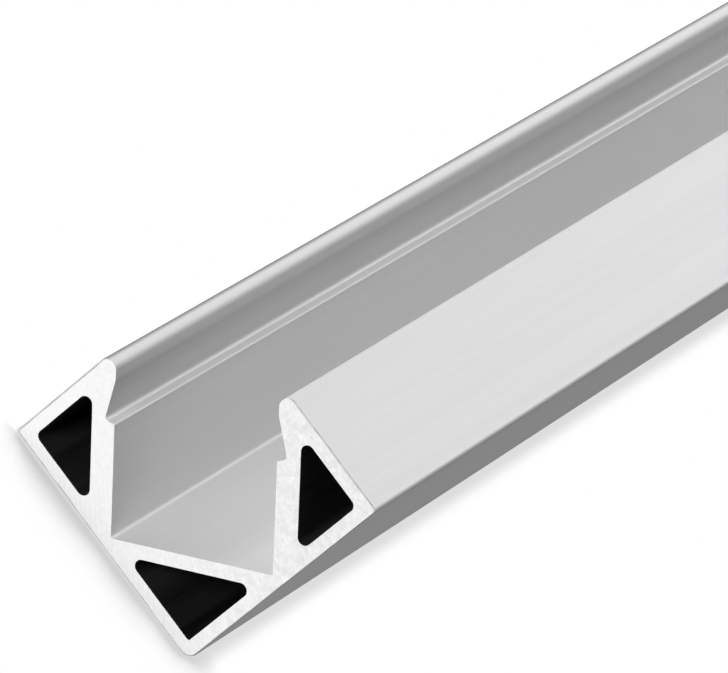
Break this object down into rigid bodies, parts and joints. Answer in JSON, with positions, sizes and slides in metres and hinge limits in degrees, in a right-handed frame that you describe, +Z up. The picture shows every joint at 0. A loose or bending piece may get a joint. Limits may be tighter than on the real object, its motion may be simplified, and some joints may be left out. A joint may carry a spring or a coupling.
{
  "type": "corner led strip profile",
  "caption": "Square aluminium extrusion with a channel open at 45 degrees for an LED strip, lips for a snap-in cover and triangular chambers.",
  "frame": {"origin": "centre of the back face that the stock lies on", "axes": "+X along the stock, +Z up, and the second back face looks towards -Y; the channel opens between +Y and +Z"},
  "size_m": [0.5, 0.018, 0.018],
  "materials": {
    "extrusion": "satin anodised, saw-cut ends"
  },
  "bodies": {
    "root": {"profile": "extrusion"}
  },
  "joints": []
}
